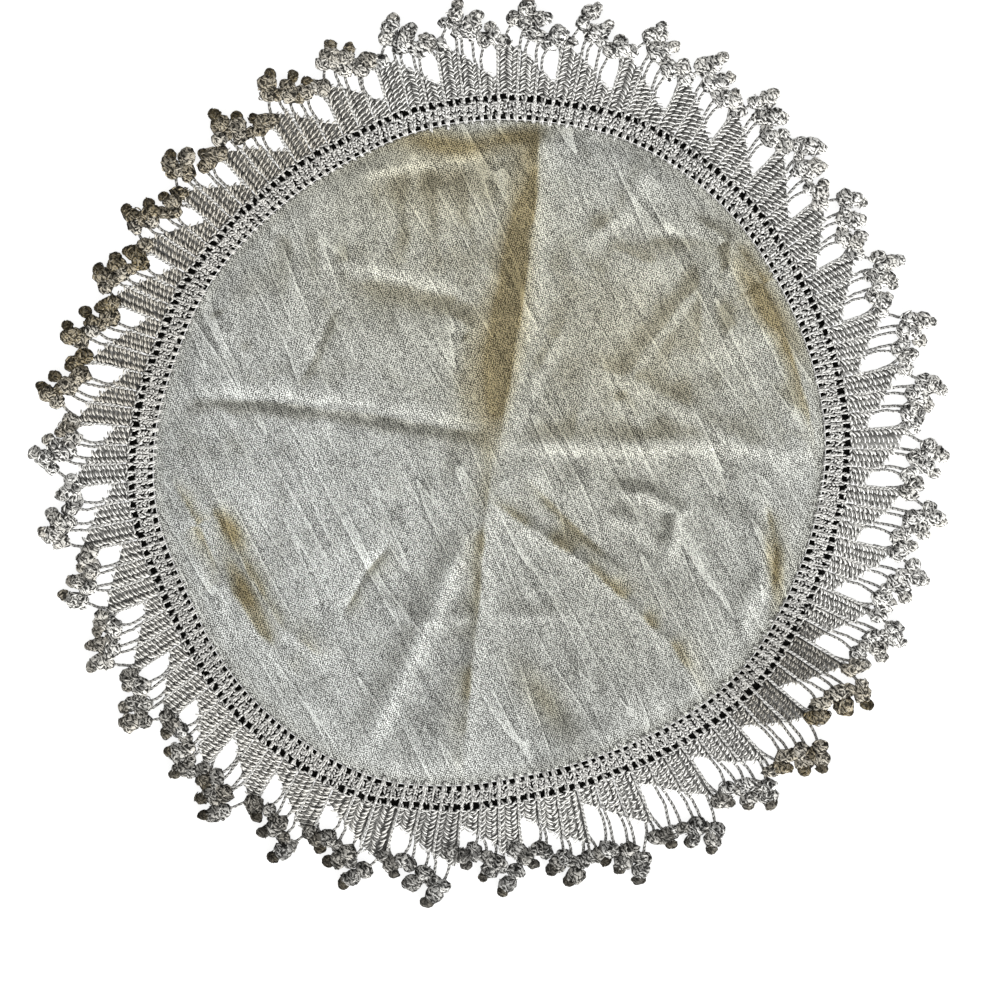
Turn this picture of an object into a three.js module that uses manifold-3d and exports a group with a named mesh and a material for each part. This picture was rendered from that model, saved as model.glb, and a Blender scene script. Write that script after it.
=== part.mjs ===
// A round linen doily with a wide crochet edging, lying flat with the creases of having been
// folded in quarters. The edging is worked out from the linen's edge: a heading, ribs that rise
// in steps to a row of saw teeth, and open loops that carry three bobbles on each tooth.
// Millimetres, +Z up, origin under the middle of the linen.

import * as THREE from 'three';
import { mergeVertices } from 'three/addons/utils/BufferGeometryUtils.js';
import Module from 'manifold-3d';

const wasm = await Module();
wasm.setup();

// Linen
const linenThickness = 1.1;
const linenSquares = 32; // squares across the grid that is pressed into a round
const foldTilt = -7.4; // degrees that the quarter folds lean clockwise
const flatMiddle = 11; // the folds are pressed out flat inside this radius
const flatRim = 14; // and fade away over this width inside the edge

// Edging
const seamGap = 0.3;
const headingWidth = 14;
const bobbleWidth = 9.8;
const bobbleLength = 16;
const bobbleHeight = 6.6;
const strandWidth = 3.2;
const strandHeight = 1.4;
const strandLift = 0.2; // the strands meet the ribs' ends clear of their top and underside
const usualPitch = 360 / 41; // degrees from one tooth to the next

// How far the linen's edge is from its middle, going anticlockwise from +X.
const linenEdge = [
  { angle: 0, radius: 170.5 },
  { angle: 25, radius: 169.3 },
  { angle: 45, radius: 171.6 },
  { angle: 65, radius: 172.7 },
  { angle: 82, radius: 169.8 },
  { angle: 100, radius: 167.8 },
  { angle: 115, radius: 165.1 },
  { angle: 130, radius: 165 },
  { angle: 150, radius: 167.5 },
  { angle: 163, radius: 168.4 },
  { angle: 178, radius: 172.5 },
  { angle: 191, radius: 174.2 },
  { angle: 205, radius: 172.2 },
  { angle: 220, radius: 175.6 },
  { angle: 250, radius: 178 },
  { angle: 262, radius: 173.4 },
  { angle: 276, radius: 167.4 },
  { angle: 292, radius: 165.9 },
  { angle: 318, radius: 170 },
  { angle: 338, radius: 168.4 },
];

// The creases that show most: a line from one point to another, how high the cloth stands there
// and how wide the rise is to each side.
const creases = [
  { from: [2, 3], to: [23, 166], height: 4.2, width: 13 },
  { from: [1, -16], to: [-20, -166], height: 3.6, width: 13 },
  { from: [-168, 19], to: [-6, -3], height: 2.6, width: 15 },
  { from: [8, -4], to: [164, -22], height: 2.6, width: 15 },
  { from: [12, -30], to: [98, -106], height: 3, width: 20 },
  { from: [104, 94], to: [150, -6], height: 2.8, width: 18 },
  { from: [-154, -28], to: [-104, -114], height: 3, width: 18 },
  { from: [-32, -92], to: [-68, -150], height: 2.2, width: 18 },
  { from: [-60, 96], to: [-6, 52], height: 2, width: 20 },
  { from: [62, 38], to: [118, 4], height: 2, width: 20 },
];

// One row for each tooth: where the long eye beside it is (degrees anticlockwise from +X), how
// far out its last bobble reaches, and how far that bobble stands past the eye (degrees).
const teeth = [
  { eye: 4.1, reach: 236, lean: 3.7 },
  { eye: 12.7, reach: 237, lean: 3.6 },
  { eye: 20.9, reach: 233.5, lean: 3.8 },
  { eye: 29.7, reach: 233, lean: 4.3 },
  { eye: 38.4, reach: 233, lean: 4.6 },
  { eye: 47.1, reach: 236.5, lean: 4.4 },
  { eye: 55.3, reach: 236.5, lean: 4.2 },
  { eye: 63.8, reach: 237, lean: 4.1 },
  { eye: 72.4, reach: 236, lean: 4.3 },
  { eye: 81, reach: 234, lean: 4.2 },
  { eye: 90, reach: 232, lean: 4.4 },
  { eye: 98.8, reach: 230, lean: 4.3 },
  { eye: 107.7, reach: 228, lean: 4.1 },
  { eye: 116.3, reach: 227, lean: 4.5 },
  { eye: 125.1, reach: 225, lean: 4.6 },
  { eye: 133.7, reach: 228.5, lean: 4.1 },
  { eye: 142.2, reach: 228, lean: 4.3 },
  { eye: 150.9, reach: 227, lean: 4.4 },
  { eye: 159.7, reach: 230, lean: 4.3 },
  { eye: 168.6, reach: 237, lean: 3.6 },
  { eye: 177.3, reach: 237, lean: 3.2 },
  { eye: 186, reach: 238, lean: 4.3 },
  { eye: 195.2, reach: 235, lean: 3.6 },
  { eye: 204.3, reach: 237.5, lean: 3.6 },
  { eye: 212.7, reach: 239, lean: 3.8 },
  { eye: 220.8, reach: 236, lean: 4.8 },
  { eye: 228.8, reach: 242.5, lean: 3.2 },
  { eye: 236.9, reach: 239, lean: 4.6 },
  { eye: 246, reach: 238, lean: 5 },
  { eye: 256.5, reach: 237.5, lean: 5.4 },
  { eye: 266.1, reach: 229, lean: 5.4 },
  { eye: 275.4, reach: 228, lean: 5.1 },
  { eye: 285.1, reach: 235, lean: 3.9 },
  { eye: 294.4, reach: 237, lean: 4.6 },
  { eye: 303.7, reach: 234.5, lean: 4.3 },
  { eye: 312.6, reach: 239, lean: 3.6 },
  { eye: 321.3, reach: 235.5, lean: 4.7 },
  { eye: 329.7, reach: 236, lean: 5 },
  { eye: 338.3, reach: 235, lean: 4.7 },
  { eye: 346.9, reach: 236, lean: 4.1 },
  { eye: 355.5, reach: 236, lean: 3.6 },
];

// The ribs of one tooth, as lines that run outwards: their angle past the eye (degrees), how far
// past the linen's edge they end, and their height. A ridge stands between two flatter braids.
const ribLines = [
  { angle: -0.9, end: 43, height: 2.5 },
  { angle: -0.5, end: 22.5, height: 1.8 },
  { angle: 2, end: 26, height: 2.5 },
  { angle: 3.4, end: 31, height: 1.8 },
  { angle: 4.8, end: 36.5, height: 2.5 },
  { angle: 6.4, end: 41, height: 1.8 },
];

// The heading across its width: distance past the seam, and height.
const headingRows = [
  { out: 0, height: 2 },
  { out: 10.6, height: 1.2 },
];

// The bobbles of a tooth: degrees past the eye, with a share of the tooth's own lean added, how
// far back from its reach, and how the egg leans from straight outwards (degrees).
const bobbles = [
  { past: 0.9, share: 0, back: 18, lean: -24 },
  { past: 0.6, share: 0.5, back: 12.5, lean: -20 },
  { past: 0.2, share: 1, back: 7.6, lean: -14 },
];

// The strands of a tooth: where each one leaves the ribs, in degrees past the eye and distance
// past the linen's edge, and which bobble it carries. The last one leaves the tooth's tip.
const strands = [
  { past: 1.75, out: 21, carries: 0 },
  { past: 3.75, out: 28, carries: 1 },
  { past: 5.3, out: 33, carries: 2 },
  { past: 7.6, out: 40.5, carries: 2 },
];

// The side of a first bobble that the tip of the tooth before it is joined to.
const nearSide = { past: 0.3, back: 22 };

const inRadians = THREE.MathUtils.degToRad;

function atAngle(angle, radius, height) {
  const turn = inRadians(angle);
  return new THREE.Vector3(radius * Math.cos(turn), radius * Math.sin(turn), height);
}

// A smooth curve through the rows of linenEdge, round and round.
function edgeRadius(angle) {
  const count = linenEdge.length;
  const turn = THREE.MathUtils.euclideanModulo(angle, 360);
  const row = (index) => {
    const { angle: base, radius } = linenEdge[(index + count) % count];
    return { angle: base + 360 * Math.floor(index / count), radius };
  };
  const first = linenEdge.findLastIndex((entry) => entry.angle <= turn);
  const [before, from, to, after] = [-1, 0, 1, 2].map((step) => row(first + step));
  const span = to.angle - from.angle;
  const rise = to.radius - from.radius;
  const leave = span * (to.radius - before.radius) / (to.angle - before.angle);
  const arrive = span * (after.radius - from.radius) / (after.angle - from.angle);
  const t = (turn - from.angle) / span;
  const square = 3 * rise - 2 * leave - arrive;
  const cube = leave + arrive - 2 * rise;
  return from.radius + t * (leave + t * (square + t * cube));
}

// A soft bump, one on the line and nothing past the width.
function bump(distance, width) {
  return distance < width ? 0.5 + 0.5 * Math.cos(Math.PI * distance / width) : 0;
}

function foldHeight(x, y, room) {
  const point = new THREE.Vector3(x, y, 0);
  const nearest = new THREE.Vector3();
  let height = 0;
  for (const crease of creases) {
    const line = new THREE.Line3(
      new THREE.Vector3(...crease.from, 0),
      new THREE.Vector3(...crease.to, 0),
    );
    line.closestPointToPoint(point, true, nearest);
    height = Math.max(height, crease.height * bump(point.distanceTo(nearest), crease.width));
  }
  const middle = THREE.MathUtils.smoothstep(point.length(), flatMiddle, 2 * flatMiddle);
  return height * middle * THREE.MathUtils.smoothstep(room, 0, flatRim);
}

// Only the positions of a geometry, with the points that meet merged.
function closedMesh(geometry) {
  geometry.deleteAttribute('normal');
  geometry.deleteAttribute('uv');
  geometry.clearGroups();
  return mergeVertices(geometry);
}

// The angle of a point of a square, so that the square's rings become even circles.
function squareToTurn(u, v) {
  if (u === 0 && v === 0) {
    return 0;
  }
  const aside = Math.abs(u) >= Math.abs(v);
  const turn = aside ? 45 * v / u : 90 - 45 * u / v;
  return turn + ((aside ? u : v) < 0 ? 180 : 0);
}

// The linen: a thin square slab pressed into a round, with its grid along the quarter folds.
function linenGeometry() {
  const geometry = closedMesh(new THREE.BoxGeometry(2, 2, 2, linenSquares, linenSquares, 1));
  const places = geometry.getAttribute('position');
  for (let i = 0; i < places.count; i += 1) {
    const [u, v] = [places.getX(i), places.getY(i)];
    const angle = squareToTurn(u, v) + foldTilt;
    const rim = edgeRadius(angle);
    const radius = rim * Math.max(Math.abs(u), Math.abs(v));
    const point = atAngle(angle, radius, places.getZ(i) > 0 ? linenThickness : 0);
    point.z += foldHeight(point.x, point.y, rim - radius);
    places.setXYZ(i, point.x, point.y, point.z);
  }
  return geometry;
}

// A tooth with the angles of its own pitch: at() places a point by degrees past its eye.
function toothFrame(index) {
  const tooth = teeth[index];
  const next = teeth[(index + 1) % teeth.length];
  const pitch = THREE.MathUtils.euclideanModulo(next.eye - tooth.eye, 360);
  const stretch = pitch / usualPitch;
  const rim = edgeRadius(tooth.eye);
  return {
    ...tooth,
    rim,
    stretch,
    at: (past, radius, height = 0) => atAngle(tooth.eye + past * stretch, radius, height),
  };
}

// The heading and the ribs in one turned ring, whose outer edge steps in and out with the ribs.
function ribbedRing() {
  const columns = teeth.flatMap((tooth, index) => {
    const { stretch } = toothFrame(index);
    return ribLines.map((rib) => ({ ...rib, angle: tooth.eye + rib.angle * stretch }));
  });
  const profileOf = ({ angle, end, height }) => {
    const seam = edgeRadius(angle) + seamGap;
    const outer = edgeRadius(angle) + end;
    return [
      new THREE.Vector2(seam, 0),
      new THREE.Vector2(outer, 0),
      new THREE.Vector2(outer, height),
      new THREE.Vector2(seam + headingWidth, height),
      ...headingRows.toReversed().map((row) => new THREE.Vector2(seam + row.out, row.height)),
      new THREE.Vector2(seam, 0),
    ];
  };
  const profile = profileOf(columns[0]);
  const geometry = new THREE.LatheGeometry(profile, columns.length);
  const places = geometry.getAttribute('position');
  for (let i = 0; i <= columns.length; i += 1) {
    const column = columns[i % columns.length];
    profileOf(column).forEach((corner, j) => {
      const point = atAngle(column.angle, corner.x, corner.y);
      places.setXYZ(i * profile.length + j, point.x, point.y, point.z);
    });
  }
  return geometry;
}

// A strand of chain: a three-sided bar with its flat side down.
function strand(from, to) {
  const section = new THREE.Shape([
    new THREE.Vector2(-strandWidth / 2, strandLift),
    new THREE.Vector2(strandWidth / 2, strandLift),
    new THREE.Vector2(0, strandLift + strandHeight),
  ]);
  const along = to.clone().sub(from);
  const geometry = new THREE.ExtrudeGeometry(section, { depth: along.length(), bevelEnabled: false });
  const heading = along.clone().normalize();
  const up = new THREE.Vector3(0, 0, 1);
  const side = up.clone().cross(heading);
  geometry.applyMatrix4(new THREE.Matrix4().makeBasis(side, up, heading).setPosition(from));
  return geometry;
}

// A bobble with the picot beside it: a faceted egg whose long way points out and clockwise.
function bobble(centre, angle) {
  const geometry = new THREE.IcosahedronGeometry(1, 0);
  geometry.scale(bobbleLength / 2, bobbleWidth / 2, bobbleHeight / 2);
  geometry.computeBoundingBox();
  geometry.rotateZ(inRadians(angle));
  geometry.translate(centre.x, centre.y, -geometry.boundingBox.min.z);
  return geometry;
}

// The open top of one tooth: its bobbles, the strands that carry them from the ribs, and the
// strand that joins the tooth's tip to the first bobble of the next tooth.
function toothPieces(index) {
  const tooth = toothFrame(index);
  const next = toothFrame((index + 1) % teeth.length);
  const places = bobbles.map(({ past, share, back, lean }) => {
    const aside = past + share * tooth.lean / tooth.stretch;
    return { centre: tooth.at(aside, tooth.reach - back), angle: tooth.eye + aside * tooth.stretch + lean };
  });
  const foot = ({ past, out }) => tooth.at(past, tooth.rim + out);
  const neighbour = next.at(nearSide.past, next.reach - nearSide.back);
  return [
    ...places.map(({ centre, angle }) => bobble(centre, angle)),
    ...strands.map((row) => strand(foot(row), places[row.carries].centre)),
    strand(foot(strands.at(-1)), neighbour),
  ];
}

function toSolid(geometry) {
  const mesh = closedMesh(geometry);
  return new wasm.Manifold(new wasm.Mesh({
    numProp: 3,
    vertProperties: new Float32Array(mesh.getAttribute('position').array),
    triVerts: new Uint32Array(mesh.index.array),
  }));
}

function toGeometry(solid) {
  const mesh = solid.getMesh();
  const geometry = new THREE.BufferGeometry();
  geometry.setAttribute('position', new THREE.BufferAttribute(mesh.vertProperties, mesh.numProp));
  geometry.setIndex(new THREE.BufferAttribute(mesh.triVerts, 1));
  return geometry;
}

// The whole edging as one solid.
function edgingGeometry() {
  const pieces = teeth.flatMap((_, index) => toothPieces(index));
  return toGeometry(pieces.map(toSolid).reduce((sum, piece) => sum.add(piece), toSolid(ribbedRing())));
}

function addPiece(group, name, geometry, color) {
  const material = new THREE.MeshStandardMaterial({ color, roughness: 0.95, metalness: 0 });
  const mesh = new THREE.Mesh(geometry, material);
  mesh.name = name;
  group.add(mesh);
}

const doily = new THREE.Group();
addPiece(doily, 'linen_centre', linenGeometry(), 0xa89f8e);
addPiece(doily, 'crochet_edging', edgingGeometry(), 0xb3ab9b);

export default doily;
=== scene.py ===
import math

import bmesh
import bpy
import numpy as np
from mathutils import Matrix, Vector, noise


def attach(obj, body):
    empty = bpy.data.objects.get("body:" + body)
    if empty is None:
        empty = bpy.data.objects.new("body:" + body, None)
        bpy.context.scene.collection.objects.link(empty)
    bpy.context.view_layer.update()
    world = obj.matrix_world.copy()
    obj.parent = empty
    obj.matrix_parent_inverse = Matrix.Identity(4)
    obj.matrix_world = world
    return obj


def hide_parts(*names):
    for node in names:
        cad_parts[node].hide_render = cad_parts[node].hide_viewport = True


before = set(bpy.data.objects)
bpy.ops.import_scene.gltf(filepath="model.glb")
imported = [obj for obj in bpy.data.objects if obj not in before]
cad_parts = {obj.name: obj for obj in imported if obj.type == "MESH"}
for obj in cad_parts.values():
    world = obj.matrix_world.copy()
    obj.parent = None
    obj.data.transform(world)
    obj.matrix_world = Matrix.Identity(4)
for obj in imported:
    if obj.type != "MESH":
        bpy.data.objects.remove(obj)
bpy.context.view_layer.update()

scene = bpy.context.scene
rng = np.random.default_rng(41)
mm = 0.001

# The doily's own plan, in millimetres and degrees anticlockwise from +X

# Angle, radius of the linen's edge
linenEdge = np.array([
    (0, 170.5), (25, 169.3), (45, 171.6), (65, 172.7), (82, 169.8),
    (100, 167.8), (115, 165.1), (130, 165), (150, 167.5), (163, 168.4),
    (178, 172.5), (191, 174.2), (205, 172.2), (220, 175.6), (250, 178),
    (262, 173.4), (276, 167.4), (292, 165.9), (318, 170), (338, 168.4),
])

# Angle of a tooth's long eye, reach of its last bobble, how far past the eye that bobble stands
teeth = np.array([
    (4.1, 236, 3.7), (12.7, 237, 3.6), (20.9, 233.5, 3.8), (29.7, 233, 4.3),
    (38.4, 233, 4.6), (47.1, 236.5, 4.4), (55.3, 236.5, 4.2), (63.8, 237, 4.1),
    (72.4, 236, 4.3), (81, 234, 4.2), (90, 232, 4.4), (98.8, 230, 4.3),
    (107.7, 228, 4.1), (116.3, 227, 4.5), (125.1, 225, 4.6), (133.7, 228.5, 4.1),
    (142.2, 228, 4.3), (150.9, 227, 4.4), (159.7, 230, 4.3), (168.6, 237, 3.6),
    (177.3, 237, 3.2), (186, 238, 4.3), (195.2, 235, 3.6), (204.3, 237.5, 3.6),
    (212.7, 239, 3.8), (220.8, 236, 4.8), (228.8, 242.5, 3.2), (236.9, 239, 4.6),
    (246, 238, 5), (256.5, 237.5, 5.4), (266.1, 229, 5.4), (275.4, 228, 5.1),
    (285.1, 235, 3.9), (294.4, 237, 4.6), (303.7, 234.5, 4.3), (312.6, 239, 3.6),
    (321.3, 235.5, 4.7), (329.7, 236, 5), (338.3, 235, 4.7), (346.9, 236, 4.1),
    (355.5, 236, 3.6),
])
eyes, reaches, leans = teeth.T
pitches = np.mod(np.roll(eyes, -1) - eyes, 360)
stretches = pitches * len(teeth) / 360


def edgeRadius(angle):
    rows = np.vstack([linenEdge[-1:] - (360, 0), linenEdge, linenEdge[:2] + (360, 0)])
    angles, radii = rows.T
    turned = np.mod(angle, 360.0)
    i = np.searchsorted(angles, turned, side="right") - 1
    slopes = np.zeros(len(rows))
    slopes[1:-1] = (radii[2:] - radii[:-2]) / (angles[2:] - angles[:-2])
    span = angles[i + 1] - angles[i]
    rise = radii[i + 1] - radii[i]
    leave, arrive = span * slopes[i], span * slopes[i + 1]
    t = (turned - angles[i]) / span
    bend = 3 * rise - 2 * leave - arrive
    return radii[i] + t * (leave + t * (bend + t * (leave + arrive - 2 * rise)))


def placed(angle, radius, height):
    turn = np.radians(angle)
    return np.stack(np.broadcast_arrays(radius * np.cos(turn), radius * np.sin(turn), height), -1)


def pastEdge(angle, out, height):
    return placed(angle, edgeRadius(angle) + out, height)


def smooth(value, low, high):
    t = np.clip((value - low) / (high - low), 0, 1)
    return t * t * (3 - 2 * t)


# Shader wiring: sockets that take Python's operators

class Wire:
    def __init__(self, tree, socket=None):
        self.tree = tree
        self.socket = socket

    def node(self, kind, settings=None, inputs=None, output=0):
        made = self.tree.nodes.new(kind)
        for name, value in (settings or {}).items():
            setattr(made, name, value)
        for name, value in (inputs or {}).items():
            if isinstance(value, Wire):
                self.tree.links.new(value.socket, made.inputs[name])
            else:
                made.inputs[name].default_value = value
        return Wire(self.tree, made.outputs[output])

    def maths(self, operation, *values):
        return self.node("ShaderNodeMath", {"operation": operation}, dict(enumerate(values)))

    def __add__(self, other):
        return self.maths("ADD", self, other)

    def __sub__(self, other):
        return self.maths("SUBTRACT", self, other)

    def __rsub__(self, other):
        return self.maths("SUBTRACT", other, self)

    def __mul__(self, other):
        return self.maths("MULTIPLY", self, other)

    __radd__ = __add__
    __rmul__ = __mul__

    def mixed(self, first, second, blend="MIX"):
        settings = {"data_type": "RGBA", "blend_type": blend}
        return self.node("ShaderNodeMix", settings, {0: self, 6: first, 7: second}, output=2)

    def between(self, low, high, toLow=0.0, toHigh=1.0):
        ends = {"From Min": low, "From Max": high, "To Min": toLow, "To Max": toHigh}
        return self.node("ShaderNodeMapRange", None, {"Value": self, **ends})


def startMaterial(name, roughness, sheen=0.0):
    material = bpy.data.materials.new(name)
    material.use_nodes = True
    tree = material.node_tree
    shader = tree.nodes["Principled BSDF"]
    shader.inputs["Roughness"].default_value = roughness
    shader.inputs["Specular IOR Level"].default_value = 0.08
    shader.inputs["Sheen Weight"].default_value = sheen
    shader.inputs["Sheen Roughness"].default_value = 0.6
    return material, Wire(tree), shader


def colour(red, green, blue):
    return (red, green, blue, 1.0)


# Linen finish: plain weave with slubs and streaks, pleats painted as highlights and shadows, warm where
# the cloth has yellowed and where crease shade is painted

linenFinish = {
    "warpTurn": 63.0,
    "pale": colour(0.875, 0.895, 0.86),
    "dark": colour(0.03, 0.03, 0.027),
    "straw": colour(0.93, 0.885, 0.74),
    "warm": colour(0.66, 0.57, 0.4),
    "threadsPerMetre": 640.0,
    "threadDrift": 6.0,
    "driftScale": (160, 160, 1),
    "warpScale": (300, 1250, 1),
    "specksScale": (1700, 1900, 1),
    "streakScale": (55, 210, 1),
    "pleatScale": (8, 100, 1),
    "patchScale": (10, 50, 1),
    "mottleScale": (75, 110, 1),
    "slubScale": (45, 620, 1),
    "pickScale": (800, 30, 1),
    "checksTone": 0.4,
    "warpTone": 0.34,
    "specksTone": 0.9,
    "streakTone": 0.24,
    "mottleTone": 0.12,
    "slubTone": 0.2,
    "pickTone": 0.06,
    "toneDrop": 0.38,
    "pleatLight": 0.42,
    "pleatShade": 0.2,
    "weaveRelief": 0.1,
    "slubRelief": 0.3,
    "pleatRelief": 9.0,
    "roughness": 0.95,
    "sheen": 0.08,
    "bump": 0.8,
    "bumpDepth": 0.0003,
}


def linenMaterial():
    f = linenFinish
    material, wire, shader = startMaterial("plainLinen", f["roughness"], f["sheen"])
    spot = wire.node("ShaderNodeTexCoord", output="Object")
    turn = {"Vector": spot, "Rotation": (0, 0, math.radians(f["warpTurn"]))}
    turned = wire.node("ShaderNodeMapping", None, turn)

    def drawn(scale, detail):
        spread = wire.node("ShaderNodeMapping", None, {"Vector": turned, "Scale": scale})
        return wire.node("ShaderNodeTexNoise", None, {"Vector": spread, "Scale": 1.0, "Detail": detail})

    def threads(axis):
        along = wire.node("ShaderNodeSeparateXYZ", None, {"Vector": turned}, output=axis)
        drift = drawn(f["driftScale"], 0.0) * f["threadDrift"]
        return wire.maths("SINE", along * (2 * math.pi * f["threadsPerMetre"]) + drift)

    checks = threads("X") * threads("Y")
    warp = drawn(f["warpScale"], 0.0).between(0.38, 0.62)
    specks = drawn(f["specksScale"], 0.0).between(0.42, 0.58)
    weave = checks * f["checksTone"] + warp * f["warpTone"] + specks * f["specksTone"]
    # A pleat is painted as a thin highlight with a softer painted shadow beside it
    pleat = drawn(f["pleatScale"], 0.5)
    patch = drawn(f["patchScale"], 1.0).between(0.36, 0.52)
    over = pleat.between(0.498, 0.502)
    bright = over * pleat.between(0.5, 0.545, 1.0, 0.0)
    shadow = (1 - over) * pleat.between(0.41, 0.5)
    paintedPleats = (bright * f["pleatLight"] - shadow * f["pleatShade"]) * patch
    streak = drawn(f["streakScale"], 3.0).between(0.3, 0.7)
    mottle = drawn(f["mottleScale"], 3.0).between(0.3, 0.7)
    slub = drawn(f["slubScale"], 1.0).between(0.6, 0.74)
    pick = drawn(f["pickScale"], 1.0).between(0.62, 0.76)
    cloudy = streak * f["streakTone"] + mottle * f["mottleTone"]
    uneven = slub * f["slubTone"] + pick * f["pickTone"]
    tone = weave + cloudy + uneven + paintedPleats - f["toneDrop"]
    agedAndShaded = wire.node("ShaderNodeAttribute", {"attribute_name": "agedAndShaded"}, output="Fac")
    dim = wire.node("ShaderNodeAttribute", {"attribute_name": "dim"}, output="Fac")
    plain = (tone * (1 - dim)).mixed(f["dark"], f["pale"])
    # Yellowing and the painted shade of creases and slopes both tint the cloth warm
    strawTinted = agedAndShaded.between(0.0, 0.5).mixed(plain, f["straw"], "MULTIPLY")
    tinted = agedAndShaded.between(0.35, 1.0).mixed(strawTinted, f["warm"], "MULTIPLY")
    relief = weave * f["weaveRelief"] + slub * f["slubRelief"] + pleat * patch * f["pleatRelief"]
    bump = {"Strength": f["bump"], "Distance": f["bumpDepth"], "Height": relief}
    normal = wire.node("ShaderNodeBump", None, bump)
    wire.tree.links.new(tinted.socket, shader.inputs["Base Color"])
    wire.tree.links.new(normal.socket, shader.inputs["Normal"])
    return material


# Crochet cotton: soft twist along each strand, with shade painted deep between the stitches

threadFinish = {
    "pale": colour(0.94, 0.93, 0.89),
    "paintedShade": colour(0.006, 0.0058, 0.005),
    "brownTone": colour(0.36, 0.29, 0.165),
    "roughness": 0.9,
    "twistTurns": 2.2,
    "plyShade": 0.38,
    "fuzzScale": 1300.0,
    "swirl": {"Scale": 200.0, "Distortion": 11.0, "Detail": 2.0, "Detail Scale": 1.6},
    "hollowShadeScale": 210.0,
    "bump": 0.35,
    "bumpDepth": 0.0002,
}


def threadMaterial():
    f = threadFinish
    material, wire, shader = startMaterial("crochetCotton", f["roughness"])
    spot = wire.node("ShaderNodeTexCoord", output="Object")
    lit = wire.node("ShaderNodeAttribute", {"attribute_name": "lit"}, output="Fac")
    brownTint = wire.node("ShaderNodeAttribute", {"attribute_name": "brownTint"}, output="Fac")
    twist = wire.node("ShaderNodeUVMap", {"uv_map": "twist"})
    along = wire.node("ShaderNodeSeparateXYZ", None, {"Vector": twist}, output="X")
    around = wire.node("ShaderNodeSeparateXYZ", None, {"Vector": twist}, output="Y")
    ply = wire.maths("SINE", (along * f["twistTurns"] + around * 2.0) * (2 * math.pi))
    fine = {"Vector": spot, "Scale": f["fuzzScale"], "Detail": 1.0}
    fuzz = wire.node("ShaderNodeTexNoise", None, fine)
    shade = ply.between(-1.0, 0.2, 1.0 - f["plyShade"], 1.0) * fuzz.between(0.3, 0.55, 0.75, 1.1)
    # Curl is set on the bobbles' hearts alone: lines of wound thread drawn as painted shade, and
    # painted shade in the hollows with painted highlights between
    curl = wire.node("ShaderNodeAttribute", {"attribute_name": "curl"}, output="Fac")
    swirl = {"Vector": spot, **f["swirl"]}
    wound = wire.node("ShaderNodeTexWave", {"bands_direction": "DIAGONAL"}, swirl, output="Fac")
    patchy = {"Vector": spot, "Scale": f["hollowShadeScale"], "Detail": 1.0}
    hollowShade = wire.node("ShaderNodeTexNoise", None, patchy)
    drawn = 1 - curl * wound.between(0.3, 0.62, 0.95, 0.0)
    drawn = drawn * (1 - curl * hollowShade.between(0.4, 0.58, 0.7, -0.3))
    # The thread's lit value runs from the painted shade colour up to the pale thread
    clean = (lit * shade * drawn).mixed(f["paintedShade"], f["pale"])
    toned = (brownTint * fuzz.between(0.2, 0.6, 0.6, 1.0)).mixed(clean, f["brownTone"], "MULTIPLY")
    relief = ply * 0.5 + fuzz + curl * wound * 2.0
    bump = {"Strength": f["bump"], "Distance": f["bumpDepth"], "Height": relief}
    normal = wire.node("ShaderNodeBump", None, bump)
    wire.tree.links.new(toned.socket, shader.inputs["Base Color"])
    wire.tree.links.new(normal.socket, shader.inputs["Normal"])
    return material


# Camera straight above, as wide as the picture at the floor's height

view = {"middle": (4.094, -25.6), "height": 1.6, "across": 0.5118, "sensor": 36.0}


def setCamera():
    camera = bpy.data.cameras.new("camera")
    camera.sensor_width = view["sensor"]
    camera.lens = view["sensor"] * view["height"] / view["across"]
    holder = bpy.data.objects.new("camera", camera)
    holder.location = (view["middle"][0] * mm, view["middle"][1] * mm, view["height"])
    scene.collection.objects.link(holder)
    scene.camera = holder


# Low key light that draws out the creases, a pale sky and a pale floor

studio = {
    "keyFrom": (0.42, -0.84, 0.42),
    "keySpread": 16.0,
    "keyStrength": 4.7,
    "sky": colour(1.0, 1.0, 1.0),
    "skyStrength": 0.48,
    "floorSize": 16.0,
    "floor": colour(0.4, 0.4, 0.39),
    "floorRoughness": 0.8,
    "floorGlow": 0.85,
}


def setStudio():
    s = studio
    lamp = bpy.data.lights.new("keyLamp", "SUN")
    lamp.energy = s["keyStrength"]
    lamp.angle = math.radians(s["keySpread"])
    holder = bpy.data.objects.new("keyLamp", lamp)
    holder.rotation_euler = (-Vector(s["keyFrom"])).to_track_quat("-Z", "Y").to_euler()
    scene.collection.objects.link(holder)
    world = bpy.data.worlds.new("sky")
    world.use_nodes = True
    sky = world.node_tree.nodes["Background"]
    sky.inputs["Color"].default_value = s["sky"]
    sky.inputs["Strength"].default_value = s["skyStrength"]
    scene.world = world
    scene.view_settings.view_transform = "Standard"
    bm = bmesh.new()
    bmesh.ops.create_grid(bm, x_segments=1, y_segments=1, size=s["floorSize"] / 2)
    mesh = bpy.data.meshes.new("floor")
    bm.to_mesh(mesh)
    bm.free()
    floor = bpy.data.objects.new("floor", mesh)
    scene.collection.objects.link(floor)
    material, _, shader = startMaterial("paleFloor", s["floorRoughness"])
    shader.inputs["Base Color"].default_value = s["floor"]
    shader.inputs["Emission Color"].default_value = colour(1.0, 1.0, 1.0)
    shader.inputs["Emission Strength"].default_value = s["floorGlow"]
    mesh.materials.append(material)


setCamera()
setStudio()
print("camera and light set")


# Linen round, with each crease listed

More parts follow.
